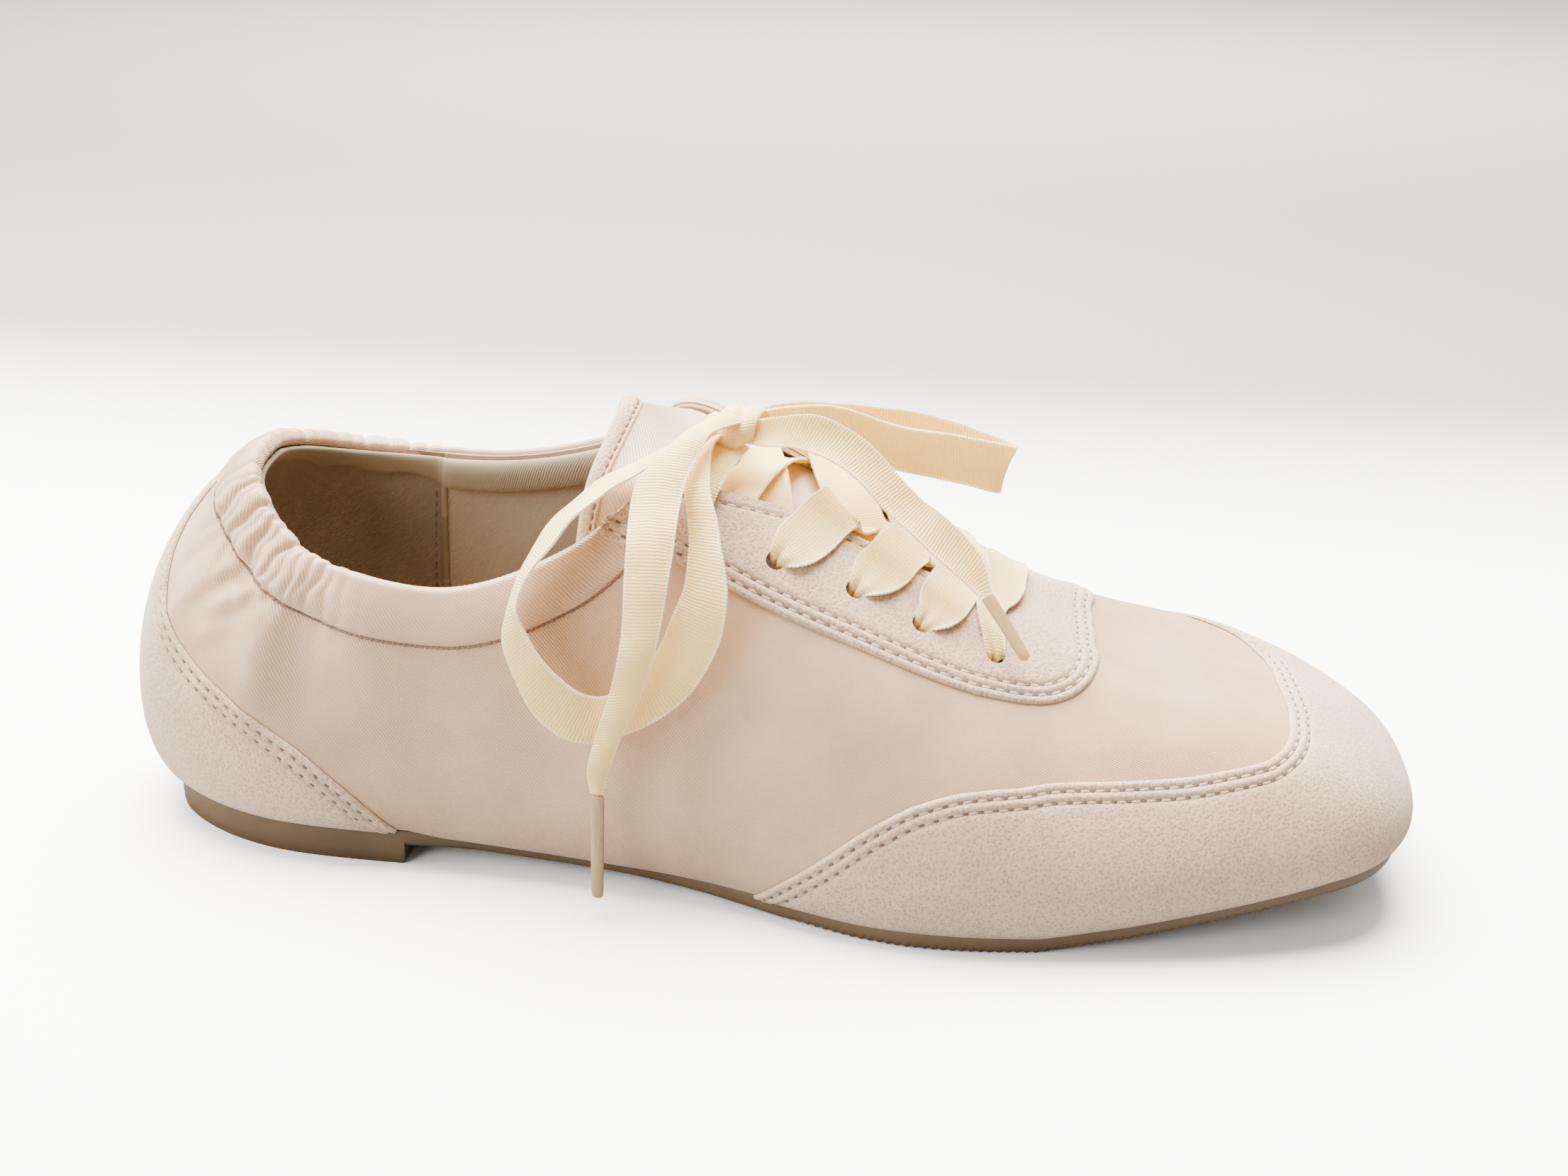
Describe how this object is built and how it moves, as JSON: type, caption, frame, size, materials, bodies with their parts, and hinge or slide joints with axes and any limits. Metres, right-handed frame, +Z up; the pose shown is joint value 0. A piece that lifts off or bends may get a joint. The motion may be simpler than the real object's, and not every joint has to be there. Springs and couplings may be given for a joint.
{
  "type": "ballet sneaker",
  "caption": "Low lace-up ballet sneaker in satin with suede toe guard, heel counter and eyestay, gathered collar, ribbon lace tied in a bow and a thin rubber sole.",
  "frame": {"origin": "middle of the outer box on the floor under the sole, measured without the tied ends of the lace", "axes": "+X from heel to toe, +Y to the wearer's left (the inner side of this right shoe), +Z up"},
  "size_m": [0.2569, 0.0915, 0.0904],
  "materials": {
    "rubber": "matt tan rubber",
    "lining": "plain woven lining",
    "satin": "soft satin sheen",
    "suede": "matt suede",
    "ribbon": "ribbed satin ribbon",
    "sleeve": "clear film over ribbon"
  },
  "bodies": {
    "root": {"outsole": "rubber", "insole": "lining", "upper": "satin", "tongue": "satin", "toe_guard": "suede", "heel_counter": "suede", "eyestay": "suede", "collar_band": "satin", "lace_cross_1": "ribbon", "lace_cross_2": "ribbon", "lace_cross_3": "ribbon", "lace_cross_4": "ribbon", "lace_bar": "ribbon", "lace_rise_near": "ribbon", "lace_rise_far": "ribbon", "bow_knot": "ribbon", "bow_loop_near": "ribbon", "bow_loop_far": "ribbon", "lace_end_near": "ribbon", "lace_end_far": "ribbon", "aglet_near": "sleeve", "aglet_far": "sleeve"}
  },
  "joints": []
}
